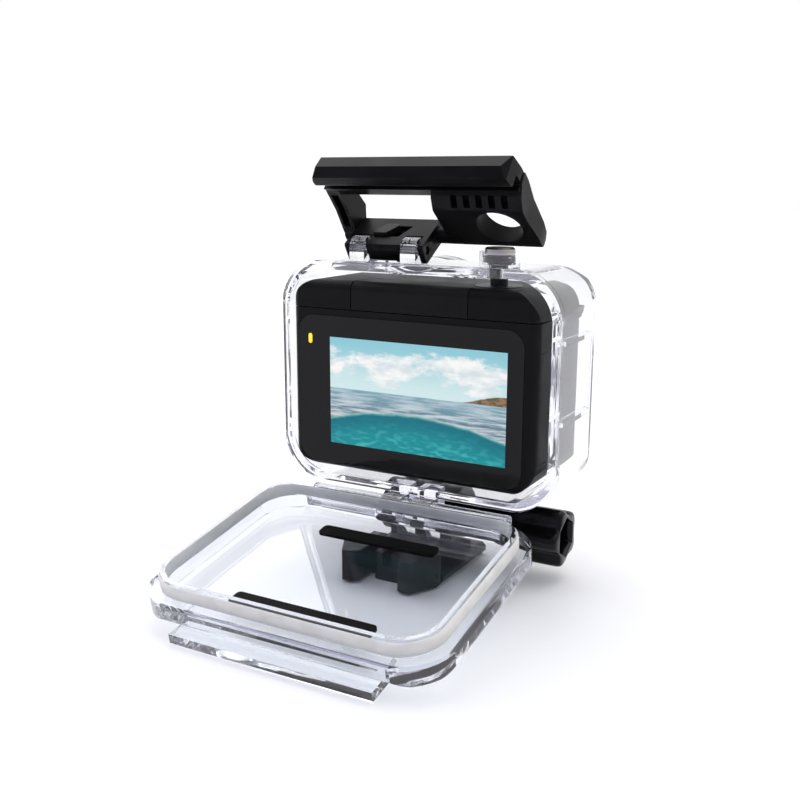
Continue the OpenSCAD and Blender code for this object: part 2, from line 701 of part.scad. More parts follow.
// the band of covers along the body's top edge, cut from the rear frame
module top_band(x0, x1) {
    translate([x0, -50, strip_z]) cube([x1 - x0, 100, 30]);
}
module camera_rear_frame() {
    color([0.09, 0.09, 0.09]) difference() {
        rear_solid();
        top_band(-60, 60);
        side_door_cut(0.15);
        side_button_cut(0.2);
    }
}
module camera_top_strip() {
    color([0.11, 0.11, 0.11]) intersection() {
        rear_solid();
        translate([0, 0, seam]) top_band(-strip_half + seam / 2, strip_half - seam / 2);
    }
}
module camera_corner_left() {
    color([0.08, 0.08, 0.08]) intersection() {
        rear_solid();
        translate([0, 0, seam]) top_band(-60, -strip_half - seam / 2);
    }
}
module camera_corner_right() {
    color([0.08, 0.08, 0.08]) intersection() {
        rear_solid();
        translate([0, 0, seam]) top_band(strip_half + seam / 2, 60);
    }
}
module side_door_cut(g) {
    translate([body_w / 2 - camera_wall - 1, screen_y + 2.6 - g, body_low + 7 - g])
        cube([9, rear_frame_d - 4 + 2 * g, 24 + 2 * g]);
}
module camera_side_door() {
    color([0.1, 0.1, 0.1]) intersection() {
        rear_solid();
        side_door_cut(0);
    }
}
module side_button_cut(g) {
    translate([-body_w / 2 - 2, side_y - g, side_z - g]) cube([4.5, side_d + 2 * g, side_h + 2 * g]);
}
module side_button() {
    color([0.12, 0.12, 0.12]) along_x(-body_w / 2 - side_out, -body_w / 2 + camera_wall - side_travel - 0.2)
        rounded(side_y, side_y + side_d, side_z, side_z + side_h, 1.2, 1.2);
}
module rear_glass() {
    color([0.03, 0.03, 0.04]) along_y(screen_y - 0.05, screen_y - 0.05 + glass_t)
        plate(glass_w, glass_h, glass_r, glass_x, glass_z);
}
module rear_display() {
    color([0.3, 0.7, 0.8]) along_y(screen_y + glass_t, screen_y + glass_t + 1.2)
        plate(picture_w + 1, picture_h + 1, 0.3, picture_x, glass_z);
}
module status_light() {
    color("gold") along_y(screen_y - 0.12, screen_y - 0.06)
        rounded(-26.1, -25.1, glass_z + 10.6, glass_z + 12.9, 0.49, 0.49);
}
module lens_surround() {
    color([0.05, 0.05, 0.05]) difference() {
        union() {
            disc_y(front_y - 1.4, front_y + lens_out, lens_x, lens_z, lens_r - 1.1);
            disc_y(front_y + 0.05, front_y + lens_out - 0.8, lens_x, lens_z, lens_r);
        }
        disc_y(0, front_y + lens_out + 1, lens_x, lens_z, lens_r - 3);
        disc_y(front_y + lens_out - 1.2, front_y + lens_out + 1, lens_x, lens_z, lens_r - 1.9);
    }
}
module lens_glass() {
    color([0.1, 0.12, 0.2, 0.6]) disc_y(front_y + lens_out - 1.2, front_y + lens_out - 0.2,
        lens_x, lens_z, lens_r - 1.95);
}
module lens_barrel() {
    color([0.04, 0.04, 0.04]) translate([lens_x, barrel_back, lens_z]) rotate([-90, 0, 0])
        rotate_extrude() polygon([[4, 0], [6.4, 0], [6.4, 3], [7.4, 3], [7.4, 12], [6.8, 12.6], [3.4, 11],
            [2.4, 10], [2.4, 5], [4, 4]]);
}
module image_sensor() {
    color([0.15, 0.3, 0.2]) along_y(barrel_back - 2, barrel_back - 0.05) plate(13, 12, 0.6, lens_x, lens_z);
}
module front_window() {
    color([0.02, 0.02, 0.03]) along_y(front_y - 0.8, front_y) front_window_shape(0);
}
module microphone_mesh() {
    color("dimgray") along_y(front_y - camera_wall - 0.4, front_y - camera_wall - 0.05)
        plate(11, 5, 1, window_x, camera_up - 16.5);
}
module battery() {
    y0 = board_y + board_t + 1.4;
    color([0.2, 0.2, 0.22]) along_y(y0, y0 + battery_d)
        plate(battery_w, battery_h, 1.5, body_w / 2 - 4 - battery_w / 2, camera_up - 1.5);
}
module main_board() {
    color([0.05, 0.25, 0.12]) along_y(board_y, board_y + board_t)
        plate(board_w, board_h, 4, 0, camera_up - 1.6);
}
module heat_spreader() {
    y1 = board_y - 0.4;
    color("silver") along_y(y1 - spreader_t, y1) plate(board_w - 10, board_h - 9, 2, 0, camera_up - 4);
}
module shutter_button() {
    z1 = body_top + shutter_out;
    color([0.15, 0.15, 0.15]) translate([plunger_x, plunger_y, z1 - button_t])
        cylinder(h = button_t, r = shutter_r);
}
module frame_screws() {
    color("silver") for (x = [-frame_screw_x, frame_screw_x], z = [body_low + 6, body_top - 9.6])
        translate([x, board_y + board_t + 0.05, z]) rotate([-90, 0, 0]) cylinder(h = 1.2, r = frame_screw_r);
}

// ---- mount ----
module buckle() {
    color([0.04, 0.04, 0.04]) difference() {
        union() {
            along_z(0, foot_t)
                rounded(1.2 - foot_w / 2, foot_w / 2 - 1.2, 8 - foot_half, foot_half, 1.5, 1.5);
            along_y(-foot_half + 9.5, foot_half) rail_shape();
            for (i = [-1, 0, 1]) buckle_prong(i * 2 * prong_step);
            pin_x(nut_x - nut_room, -2 * prong_step, mount_y, mount_up, prong_r - 0.4);
            along_z(0, 6.4) rounded(-3.4, 3.4, -foot_half + 5.4, -foot_half + 13, 0.8, 0.8);
            for (s = [-1, 1]) snap_arm(s);
        }
        pin_x(-20, 20, mount_y, mount_up, bore_r);
        translate([nut_x - nut_room - eps, mount_y, mount_up]) rotate([0, 90, 0])
            cylinder(h = nut_t + 2 * nut_room, r = hex_r + nut_room, $fn = 6);
        translate([-1.2, -foot_half + 3, 3.6]) cube([2.4, 6, 5]);
    }
}
module rail_shape() {
    polygon([[-foot_w / 2 - 1, 0.9], [-foot_w / 2, 0], [foot_w / 2, 0], [foot_w / 2 + 1, 0.9],
        [foot_w / 2 + 1, 2], [foot_w / 2 - 0.1, foot_t], [-foot_w / 2 + 0.1, foot_t], [-foot_w / 2 - 1, 2]]);
}
module buckle_prong(x) {
    along_x(x - prong_t / 2, x + prong_t / 2) {
        translate([mount_y, mount_up]) circle(prong_r);
        translate([mount_y - prong_r, 1]) square([prong_r + foot_half - mount_y, mount_up - 1]);
    }
}
// a springy arm with a barbed tip that clicks into a base
module snap_arm(side) {
    along_z(0.6, arm_h) mirror([side < 0 ? 1 : 0, 0]) polygon([
        [4.8, -foot_half + 14], [4.8, -foot_half + 1.8], [5.4, -foot_half + 0.6], [6.6, -foot_half],
        [8.4, -foot_half], [11.9, -foot_half + 6.6], [11.9, -foot_half + 8.4], [8.4, -foot_half + 8.4],
        [8.4, -foot_half + 14]]);
}
module mount_nut() {
    color("gold") translate([nut_x, mount_y, mount_up]) rotate([0, 90, 0]) difference() {
        cylinder(h = nut_t, r = hex_r, $fn = 6);
        translate([0, 0, -1]) cylinder(h = nut_t + 2, r = bore_r);
    }
}
module thumb_screw() {
    color("silver") pin_x(nut_x + 0.4, knob_neck - 1, mount_y, mount_up, screw_r);
}
module thumb_knob() {
    lobe_r = 1.9;
    core_r = knob_r - 1.6;
    color([0.03, 0.03, 0.03]) translate([0, mount_y, mount_up]) difference() {
        union() {
            pin_x(knob_x, knob_neck - 2, 0, 0, hub_r);
            translate([knob_neck - 2, 0, 0]) rotate([0, 90, 0]) cylinder(h = 3, r1 = hub_r, r2 = core_r);
            pin_x(knob_neck, knob_end, 0, 0, core_r);
            for (p = ring(6, knob_r - lobe_r)) pin_x(knob_neck + 2.4, knob_end, p[0], p[1], lobe_r);
        }
        pin_x(knob_x - 1, knob_neck - 1, 0, 0, screw_r);
        translate([knob_end - 5, 0, 0]) rotate([0, 90, 0]) cylinder(h = 9, r = hex_r, $fn = 6);
    }
}

front_shell();
port_seal();
port_glass();
port_ring();
door_hinge_pin();
latch_pin();
door_shell();
door_gasket();
door_pad_upper();
door_pad_lower();
latch_rocker();
hook_pin();
hook_arm();
lock_slider();
plunger_stem();
plunger_cap();
plunger_spring();
plunger_seal();
plunger_clip();
camera_front_shell();
camera_rear_frame();
camera_top_strip();
camera_corner_left();
camera_corner_right();
camera_side_door();
rear_glass();
rear_display();
status_light();
lens_surround();
lens_glass();
lens_barrel();
image_sensor();
front_window();
microphone_mesh();
battery();
main_board();
heat_spreader();
shutter_button();
side_button();
frame_screws();
buckle();
mount_nut();
thumb_screw();
thumb_knob();
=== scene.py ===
# %% [markdown]
# # An action camera in its open dive housing
# A small black camera sits in a clear polycarbonate case that keeps water out. The case's door lies
# open on its bottom hinge, and the latch is lifted. The hard parts come from the CAD model, so here
# each of them gets its finish and softened edges, and the soft or finely formed ones are built anew.

import json
import math

import bmesh
import bpy
from mathutils import Matrix, Vector


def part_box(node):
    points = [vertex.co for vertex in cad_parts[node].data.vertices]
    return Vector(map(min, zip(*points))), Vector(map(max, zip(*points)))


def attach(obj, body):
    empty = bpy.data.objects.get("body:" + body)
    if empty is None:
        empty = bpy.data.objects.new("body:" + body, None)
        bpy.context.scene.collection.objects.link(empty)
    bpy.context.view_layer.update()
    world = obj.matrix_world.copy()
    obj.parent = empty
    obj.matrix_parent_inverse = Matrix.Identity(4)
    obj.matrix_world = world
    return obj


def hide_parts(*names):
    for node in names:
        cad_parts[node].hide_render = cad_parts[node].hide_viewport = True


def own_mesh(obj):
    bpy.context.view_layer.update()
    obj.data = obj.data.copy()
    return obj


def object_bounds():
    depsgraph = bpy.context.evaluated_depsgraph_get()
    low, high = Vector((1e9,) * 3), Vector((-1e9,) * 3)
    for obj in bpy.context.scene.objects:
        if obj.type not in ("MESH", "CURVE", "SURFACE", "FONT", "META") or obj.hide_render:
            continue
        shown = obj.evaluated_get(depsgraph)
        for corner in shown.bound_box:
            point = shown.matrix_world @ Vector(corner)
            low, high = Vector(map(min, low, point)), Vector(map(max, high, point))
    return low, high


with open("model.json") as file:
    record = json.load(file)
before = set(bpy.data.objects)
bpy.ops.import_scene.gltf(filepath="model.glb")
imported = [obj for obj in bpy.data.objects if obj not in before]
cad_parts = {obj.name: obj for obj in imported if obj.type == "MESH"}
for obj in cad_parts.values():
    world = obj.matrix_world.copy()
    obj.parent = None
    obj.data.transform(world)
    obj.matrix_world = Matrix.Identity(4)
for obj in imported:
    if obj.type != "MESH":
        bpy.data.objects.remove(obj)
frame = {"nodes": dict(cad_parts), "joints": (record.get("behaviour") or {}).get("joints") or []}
nodes = frame["nodes"]
MM = 0.001
cad_low, cad_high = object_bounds()
print("CAD box, mm:", [round((b - a) / MM, 1) for a, b in zip(cad_low, cad_high)])

# %% [markdown]
# ## The camera
# The view is from behind, from the viewer's right and a little above, as a buyer would look at the
# screen. The camera is placed round the middle of the display with an azimuth, an elevation and a
# distance, so that each of these can be changed on its own.

# %% Aim at the middle of the display
VIEW_AZIMUTH = math.radians(29.46)
VIEW_ELEVATION = math.radians(12.39)
VIEW_ROLL = math.radians(0.18)
VIEW_DISTANCE = 222.56 * MM
VIEW_LEFT = 3.17 * MM
LENS_MM = 45.2

display_low, display_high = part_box("rear_display")
glass_low, glass_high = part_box("rear_glass")
picture_middle = (display_low + display_high) / 2
aim = Vector((picture_middle.x, glass_low.y + 0.05 * MM, picture_middle.z))
back = Vector((
    math.sin(VIEW_AZIMUTH) * math.cos(VIEW_ELEVATION),
    -math.cos(VIEW_AZIMUTH) * math.cos(VIEW_ELEVATION),
    math.sin(VIEW_ELEVATION),
))
right = Vector((0, 0, 1)).cross(back).normalized()
up = back.cross(right)
camera_data = bpy.data.cameras.new("viewpoint")
camera_data.lens = LENS_MM
camera_data.sensor_width = 36
camera_data.clip_start = 0.01
viewpoint = bpy.data.objects.new("viewpoint", camera_data)
bpy.context.scene.collection.objects.link(viewpoint)
turn = Matrix((right, up, back)).transposed() @ Matrix.Rotation(VIEW_ROLL, 3, "Z")
stand = aim + back * VIEW_DISTANCE - right * VIEW_LEFT
viewpoint.matrix_world = Matrix.Translation(stand) @ turn.to_4x4()
bpy.context.scene.camera = viewpoint
print("camera at, mm:", [round(c / MM, 1) for c in viewpoint.location])

# %% [markdown]
# ## Shader helpers
# Every finish below is a Principled shader with a few noise and mask nodes in front of it. These
# short calls add a node, join it up or mix two values, so that each finish reads as a recipe.

# %% Short calls for nodes


def start_material(name):
    """A new material, its node tree and its Principled shader."""
    mat = bpy.data.materials.new(name)
    mat.use_nodes = True
    return mat, mat.node_tree, mat.node_tree.nodes["Principled BSDF"]


def add(tree, kind, **settings):
    """A node with some of its settings."""
    node = tree.nodes.new(kind)
    for key, value in settings.items():
        setattr(node, key, value)
    return node


def put(tree, socket, value):
    """Feeds a socket from another node's output, or sets it to a number or colour."""
    if isinstance(value, bpy.types.NodeSocket):
        tree.links.new(value, socket)
    elif isinstance(value, tuple) and len(value) == 3 and socket.type == "RGBA":
        socket.default_value = (*value, 1)
    else:
        socket.default_value = value


def maths(tree, operation, a, b=0.0, clamp=False):
    """One arithmetic step."""
    node = add(tree, "ShaderNodeMath", operation=operation, use_clamp=clamp)
    put(tree, node.inputs[0], a)
    put(tree, node.inputs[1], b)
    return node.outputs[0]


def blend(tree, factor, a, b):
    """A colour between a, at factor 0, and b, at factor 1."""
    node = add(tree, "ShaderNodeMix", data_type="RGBA")
    put(tree, node.inputs[0], factor)
    put(tree, node.inputs[6], a)
    put(tree, node.inputs[7], b)
    return node.outputs[2]


def ramp(tree, value, low, high, to_low=0.0, to_high=1.0):
    """A smooth step from to_low, where value is low, to to_high, where it is high."""
    node = add(tree, "ShaderNodeMapRange", interpolation_type="SMOOTHSTEP")
    put(tree, node.inputs["Value"], value)
    limits = {"From Min": low, "From Max": high, "To Min": to_low, "To Max": to_high}
    for label, number in limits.items():
        put(tree, node.inputs[label], number)
    return node.outputs["Result"]


def noise(tree, where, scale, detail=3.0, roughness=0.5):
    """Fractal noise from 0 to 1; where is a position, in metres unless it was scaled."""
    node = add(tree, "ShaderNodeTexNoise")
    put(tree, node.inputs["Vector"], where)
    put(tree, node.inputs["Scale"], scale)
    put(tree, node.inputs["Detail"], detail)
    put(tree, node.inputs["Roughness"], roughness)
    return node.outputs[0]


def here(tree):
    """The position on the part at rest, in metres."""
    return add(tree, "ShaderNodeTexCoord").outputs["Object"]


def stretched(tree, where, x, y, z):
    """A position scaled along each axis, which draws noise out into streaks."""
    node = add(tree, "ShaderNodeVectorMath", operation="MULTIPLY")
    put(tree, node.inputs[0], where)
    put(tree, node.inputs[1], (x, y, z))
    return node.outputs[0]


def relief(tree, shader, height, distance, strength=1.0):
    """Height as bumps of that depth, in metres, on the shader's normal."""
    node = add(tree, "ShaderNodeBump")
    put(tree, node.inputs["Height"], height)
    put(tree, node.inputs["Distance"], distance)
    put(tree, node.inputs["Strength"], strength)
    tree.links.new(node.outputs[0], shader.inputs["Normal"])


# %% [markdown]
# ## Light
# Clear plastic shows only what it bends, so it needs a bright, even surround with something darker
# to draw its edges. The surround is white behind the object and above it, and dimmer on the
# viewer's side, which keeps black plastic black and draws the clear edges in a cool grey. A wide,
# soft light from the ceiling whitens the floor and makes the shadow under the door. Light zigzags
# through clear walls by refraction and by mirror bounces, so both kinds are followed for many
# bounces; with few of them the thick rims turn black.

# %% Follow the light far enough
BOUNCES = 24
scene = bpy.context.scene
scene.view_settings.view_transform = "Standard"
scene.cycles.max_bounces = BOUNCES
scene.cycles.transmission_bounces = BOUNCES
scene.cycles.glossy_bounces = BOUNCES
scene.cycles.transparent_max_bounces = BOUNCES
print("bounces:", BOUNCES)

# %% [markdown]
# ## Surround
# The surround is a world shader. Its colour depends on how far a direction points behind the
# object; the camera itself always sees white.

# %% White behind, dimmer on the viewer's side
DIM_SIDE = (0.36, 0.36, 0.52)
WHITE = (1.0, 1.0, 1.0)
surround = bpy.data.worlds.new("studio")
surround.use_nodes = True
scene.world = surround
sky = surround.node_tree
direction = add(sky, "ShaderNodeSeparateXYZ")
put(sky, direction.inputs[0], add(sky, "ShaderNodeTexCoord").outputs["Generated"])
behind = ramp(sky, direction.outputs["Y"], -0.8, 0.15)
seen = add(sky, "ShaderNodeLightPath").outputs["Is Camera Ray"]
walls = blend(sky, maths(sky, "MAXIMUM", behind, seen), DIM_SIDE, WHITE)
put(sky, sky.nodes["Background"].inputs["Color"], walls)
print("surround:", surround.name)

# %% [markdown]
# ## Lamps
# The ceiling is a sun lamp with a very wide angle, which has no near edge to show up in glossy
# plastic. A small area lamp on the left lifts the shadow side.

# %% Hang the lamps
CEILING_ANGLE = math.radians(70)
FILL_PLACE = Vector((-0.5, -0.25, 0.25))
FILL_TARGET = Vector((0, 0, 0.04))


def hang_lamp(name, kind, strength):
    """A new lamp and the object that carries it."""
    lamp = bpy.data.lights.new(name, kind)
    lamp.energy = strength
    carrier = bpy.data.objects.new(name, lamp)
    scene.collection.objects.link(carrier)
    return lamp, carrier


fill, carrier = hang_lamp("side_fill", "AREA", 0.35)
fill.size = 0.3
carrier.location = FILL_PLACE
carrier.rotation_euler = (FILL_TARGET - FILL_PLACE).to_track_quat("-Z", "Y").to_euler()
ceiling, carrier = hang_lamp("ceiling", "SUN", 1.35)
ceiling.angle = CEILING_ANGLE
carrier.rotation_euler = (math.radians(-12), math.radians(-14), 0)

# %% [markdown]
# ## Effects that several finishes share
# Moulded plastic carries the fine spark-eroded grain of its mould, and a handled edge is rubbed
# smoother and paler than the face beside it. Both are node groups: they are built once and placed
# in each material with its own values. The edge mask compares the true normal with one rounded over
# a short reach, which differ only near an edge.

# %% Build the shared groups


def new_group(name, inputs, outputs):
    """A shader node group with named inputs, each with its default, and named outputs."""
    group = bpy.data.node_groups.new(name, "ShaderNodeTree")
    for label, default in inputs:
        socket = group.interface.new_socket(label, in_out="INPUT", socket_type="NodeSocketFloat")
        socket.default_value = default
    for label in outputs:
        group.interface.new_socket(label, in_out="OUTPUT", socket_type="NodeSocketFloat")
    return group, group.nodes.new("NodeGroupInput").outputs, group.nodes.new("NodeGroupOutput").inputs


mould_grain, given, result = new_group("mould_grain", [("Pits per metre", 4000)], ["Height", "Mottle"])
place = here(mould_grain)
mould_grain.links.new(noise(mould_grain, place, given["Pits per metre"], 4, 0.6), result["Height"])
mould_grain.links.new(ramp(mould_grain, noise(mould_grain, place, 130, 4), 0.3, 0.7), result["Mottle"])

edge_rub, given, result = new_group("edge_rub", [("Reach", 0.0003), ("Patchiness", 0.5)], ["Mask"])
rounded_normal = add(edge_rub, "ShaderNodeBevel", samples=4)
edge_rub.links.new(given["Reach"], rounded_normal.inputs["Radius"])
true_normal = add(edge_rub, "ShaderNodeNewGeometry")
cosine = add(edge_rub, "ShaderNodeVectorMath", operation="DOT_PRODUCT")
edge_rub.links.new(rounded_normal.outputs[0], cosine.inputs[0])
edge_rub.links.new(true_normal.outputs["Normal"], cosine.inputs[1])
bend = ramp(edge_rub, maths(edge_rub, "SUBTRACT", 1.0, cosine.outputs["Value"]), 0.02, 0.22)
patches = ramp(edge_rub, noise(edge_rub, here(edge_rub), 420, 4), 0.35, 0.65)
uneven = maths(edge_rub, "MULTIPLY", given["Patchiness"], maths(edge_rub, "SUBTRACT", 1.0, patches))
kept = maths(edge_rub, "SUBTRACT", 1.0, uneven)
edge_rub.links.new(maths(edge_rub, "MULTIPLY", bend, kept), result["Mask"])

handling, given, result = new_group("handling", [("Smear", 1.0)], ["Smudge", "Scratch"])
place = here(handling)
wiped = noise(handling, stretched(handling, place, 60, 60, 110), 1.0, 5, 0.6)
smear = ramp(handling, wiped, 0.45, 0.75)
handling.links.new(maths(handling, "MULTIPLY", smear, given["Smear"]), result["Smudge"])
hair = noise(handling, stretched(handling, place, 160, 160, 5200), 1.0, 2)
off_line = maths(handling, "ABSOLUTE", maths(handling, "SUBTRACT", hair, 0.5))
thin = ramp(handling, off_line, 0.0, 0.006, 1.0, 0.0)
some = ramp(handling, noise(handling, place, 90, 3), 0.52, 0.6)
handling.links.new(maths(handling, "MULTIPLY", thin, some), result["Scratch"])
print("shared groups:", [g.name for g in bpy.data.node_groups])

# %% [markdown]
# ## Placing a group
# A group does nothing until a material holds a copy of it. Its inputs then get that material's
# values, and its outputs go on to the shader.

# %% Place a group in a material


def use(tree, group, **values):
    """The outputs of a shared group, placed with its own values; an underscore stands for a space."""
    node = add(tree, "ShaderNodeGroup", node_tree=group)
    for label, value in values.items():
        node.inputs[label.replace("_", " ")].default_value = value
    return node.outputs


# %% [markdown]
# ## Black plastics
# The latch is satin glass-filled nylon, the buckle and the knob are glossier, and the camera's
# covers are a soft rubbery plastic. They differ in colour, gloss, grain and how far their edges are
# rubbed, so one recipe makes them all from those few numbers.

# %% Recipe for a moulded plastic
RUB_REACH = 0.3 * MM


def moulded_plastic(name, colour, pale, gloss, pits=4000, depth=0.004, edge=0.5, shine=0.22):
    """Solid plastic: gloss is its roughness, depth its grain in mm, pale its rubbed edge's colour."""
    mat, tree, skin = start_material(name)
    grain = use(tree, mould_grain, Pits_per_metre=pits)
    rub = use(tree, edge_rub, Reach=RUB_REACH, Patchiness=0.6)["Mask"]
    marks = use(tree, handling, Smear=0.6)
    worn = maths(tree, "MULTIPLY", rub, edge)
    dusty = tuple(c * 1.35 + 0.001 for c in colour)
    base = blend(tree, grain["Mottle"], colour, dusty)
    put(tree, skin.inputs["Base Color"], blend(tree, worn, base, pale))
    rough = maths(tree, "ADD", gloss - 0.04, maths(tree, "MULTIPLY", grain["Mottle"], 0.08))
    rough = maths(tree, "ADD", rough, maths(tree, "MULTIPLY", marks["Smudge"], 0.06))
    rough = maths(tree, "SUBTRACT", rough, maths(tree, "MULTIPLY", rub, gloss * 0.3), clamp=True)
    put(tree, skin.inputs["Roughness"], rough)
    scratched = maths(tree, "SUBTRACT", grain["Height"], maths(tree, "MULTIPLY", marks["Scratch"], 0.5))
    relief(tree, skin, scratched, depth * MM)
    skin.inputs["Specular IOR Level"].default_value = shine
    return mat


latch_satin = moulded_plastic(
    "latch_satin_nylon", (0.003, 0.003, 0.0033), (0.022, 0.022, 0.024), 0.36, edge=0.6, shine=0.1)
slider_satin = moulded_plastic(
    "slider_nylon", (0.005, 0.005, 0.0055), (0.04, 0.04, 0.043), 0.36, 5200, 0.006, shine=0.18)
cover_rubber = moulded_plastic(
    "camera_cover_rubber", (0.003, 0.003, 0.0033), (0.012, 0.012, 0.0125), 0.42, 6500, 0.01, shine=0.1)
strip_rubber = moulded_plastic(
    "camera_strip_rubber", (0.004, 0.004, 0.0043), (0.014, 0.014, 0.015), 0.46, 5200, 0.014, shine=0.12)
button_plastic = moulded_plastic(
    "button_plastic", (0.016, 0.016, 0.017), (0.04, 0.04, 0.042), 0.34)
buckle_gloss = moulded_plastic(
    "buckle_acetal", (0.003, 0.0032, 0.004), (0.016, 0.017, 0.02), 0.22, 2600, 0.003)
knob_gloss = moulded_plastic(
    "knob_acetal", (0.002, 0.002, 0.0024), (0.012, 0.012, 0.013), 0.13, 2200, 0.002)
stem_plastic = moulded_plastic(
    "plunger_stem_plastic", (0.004, 0.004, 0.004), (0.02, 0.02, 0.02), 0.4)
lens_plastic = moulded_plastic(
    "lens_surround_plastic", (0.01, 0.01, 0.011), (0.04, 0.04, 0.042), 0.3)
seal_rubber = moulded_plastic(
    "seal_rubber", (0.003, 0.003, 0.003), (0.01, 0.01, 0.01), 0.5, 3000, 0.012, 0.2, shine=0.06)
print("plastics:", len(bpy.data.materials))

# %% [markdown]
# ## Clear polycarbonate
# The housing is clear plastic a millimetre and a half thick, with a faint blue-violet cast where
# one looks along a wall. A refracting shader gives the bright and dark lines at its edges. Glass in
# a path tracer throws a black shadow, so for shadow rays it is swapped for a plain transparent
# shader. A trace of bluish glow is painted light, given out though the plastic is no lamp: it stands
# in for the light that thick plastic scatters inside itself, adds up where light runs along a wall and
# is lost where one looks straight through. A very shallow flow relief makes the highlights waver as in a
# real moulding.

# %% Recipe for clear plastic
# painted glow: colour and strength of light that the clear parts give out, though they are no lamps
PAINTED_GLOW_COLOUR = (0.85, 0.85, 1.0)
PAINTED_GLOW_STRENGTH = 0.004
FLOW_DEPTH = 0.1 * MM
FLOW_STRENGTH = 0.35


def clear_plastic(name, tint, shade, index=1.52, gloss=0.015, flow=True, shine=0.5):
    """Clear plastic or glass: tint colours what is seen through it, shade colours its shadow."""
    mat, tree, skin = start_material(name)
    put(tree, skin.inputs["Base Color"], tint)
    skin.inputs["Transmission Weight"].default_value = 1.0
    skin.inputs["IOR"].default_value = index
    skin.inputs["Roughness"].default_value = gloss
    skin.inputs["Specular IOR Level"].default_value = shine
    # painted glow: the clear plastic gives out a little bluish light of its own
    put(tree, skin.inputs["Emission Color"], PAINTED_GLOW_COLOUR)
    skin.inputs["Emission Strength"].default_value = PAINTED_GLOW_STRENGTH
    if flow:
        drift = noise(tree, stretched(tree, here(tree), 50, 50, 90), 1.0, 2)
        relief(tree, skin, drift, FLOW_DEPTH, FLOW_STRENGTH)
    through = add(tree, "ShaderNodeBsdfTransparent")
    put(tree, through.inputs["Color"], shade)
    swap = add(tree, "ShaderNodeMixShader")
    tree.links.new(add(tree, "ShaderNodeLightPath").outputs["Is Shadow Ray"], swap.inputs[0])
    tree.links.new(skin.outputs[0], swap.inputs[1])
    tree.links.new(through.outputs[0], swap.inputs[2])
    tree.links.new(swap.outputs[0], tree.nodes["Material Output"].inputs["Surface"])
    return mat


clear_case = clear_plastic(
    "clear_polycarbonate", (0.955, 0.958, 0.985), (0.93, 0.935, 0.95))
clear_door = clear_plastic(
    "clear_door_polycarbonate", (0.88, 0.905, 0.945), (0.95, 0.955, 0.975), shine=0.25)
clear_port = clear_plastic(
    "port_flat_glass", (0.975, 0.99, 0.985), (0.96, 0.97, 0.965), flow=False)
print("clear:", clear_case.name, clear_door.name, clear_port.name)

# %% [markdown]
# ## Metals
# The plunger cap is a turned, nickel-plated button, so its marks run in rings round its axis. The
# pins, screws and spring are plain stainless steel with fine lengthwise draw marks.

# %% Turned nickel and drawn steel


def drawn_metal(name, colour, gloss, streak):
    """Bare metal with draw marks; streak stretches the noise along each axis."""
    mat, tree, skin = start_material(name)
    skin.inputs["Metallic"].default_value = 1.0
    lines = noise(tree, stretched(tree, here(tree), *streak), 1.0, 3)
    tarnish = ramp(tree, noise(tree, here(tree), 500, 4), 0.3, 0.8)
    dull = tuple(c * 0.7 for c in colour)
    put(tree, skin.inputs["Base Color"], blend(tree, tarnish, colour, dull))
    put(tree, skin.inputs["Roughness"], maths(tree, "ADD", gloss, maths(tree, "MULTIPLY", lines, 0.15)))
    relief(tree, skin, lines, 0.004 * MM)
    return mat


steel = drawn_metal("stainless_steel", (0.62, 0.62, 0.61), 0.2, (300, 9000, 9000))
dark_steel = drawn_metal("blackened_spring_steel", (0.06, 0.056, 0.05), 0.3, (300, 9000, 9000))
brass = drawn_metal("brass_nut", (0.72, 0.5, 0.2), 0.28, (600, 5000, 5000))
aluminium = drawn_metal("heat_spreader_aluminium", (0.7, 0.71, 0.72), 0.35, (400, 400, 5000))

cap_low, cap_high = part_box("plunger_cap")
cap_middle = (cap_low + cap_high) / 2
nickel, tree, skin = start_material("turned_nickel")
offset = add(tree, "ShaderNodeVectorMath", operation="SUBTRACT")
put(tree, offset.inputs[0], here(tree))
put(tree, offset.inputs[1], (cap_middle.x, cap_middle.y, 0))
flat = stretched(tree, offset.outputs[0], 1, 1, 0)
reach = add(tree, "ShaderNodeVectorMath", operation="LENGTH")
put(tree, reach.inputs[0], flat)
rings = noise(tree, maths(tree, "MULTIPLY", reach.outputs["Value"], 9000.0), 1.0, 2)
skin.inputs["Metallic"].default_value = 1.0
put(tree, skin.inputs["Base Color"], blend(tree, rings, (0.30, 0.285, 0.26), (0.46, 0.44, 0.41)))
put(tree, skin.inputs["Roughness"], ramp(tree, rings, 0.2, 0.8, 0.18, 0.34))
relief(tree, skin, rings, 0.006 * MM)
print("metals:", steel.name, brass.name, aluminium.name, nickel.name)

# %% [markdown]
# ## Silicone gasket and rubber pads
# The gasket is a sleeve of warm grey silicone, slightly translucent and faintly dusty. A touch of
# subsurface scattering keeps its shadow side soft.

# %% Grey silicone
silicone, tree, skin = start_material("grey_silicone")
cloud = ramp(tree, noise(tree, here(tree), 260, 5), 0.3, 0.7)
put(tree, skin.inputs["Base Color"], blend(tree, cloud, (0.68, 0.67, 0.62), (0.76, 0.75, 0.71)))
put(tree, skin.inputs["Roughness"], ramp(tree, cloud, 0, 1, 0.42, 0.54))
skin.inputs["Subsurface Weight"].default_value = 0.6
skin.inputs["Subsurface Scale"].default_value = 0.002
skin.inputs["Subsurface Radius"].default_value = (1.0, 0.97, 0.9)
relief(tree, skin, noise(tree, here(tree), 5200, 3), 0.006 * MM)
print("soft:", silicone.name, seal_rubber.name)

# %% [markdown]
# ## The screen
# The rear of the camera is one sheet of dark glass with the display bonded behind it. The lit
# picture is drawn in the glass's own material as light that it gives out: a bright sky with clouds,
# a line of coast, ripples, and the green-blue water under a curved waterline. Each band is a mask
# from the height in the picture, and noise breaks up its edges.

# %% Places in the picture
picture_w = display_high.x - display_low.x - 1 * MM
picture_h = display_high.z - display_low.z - 1 * MM

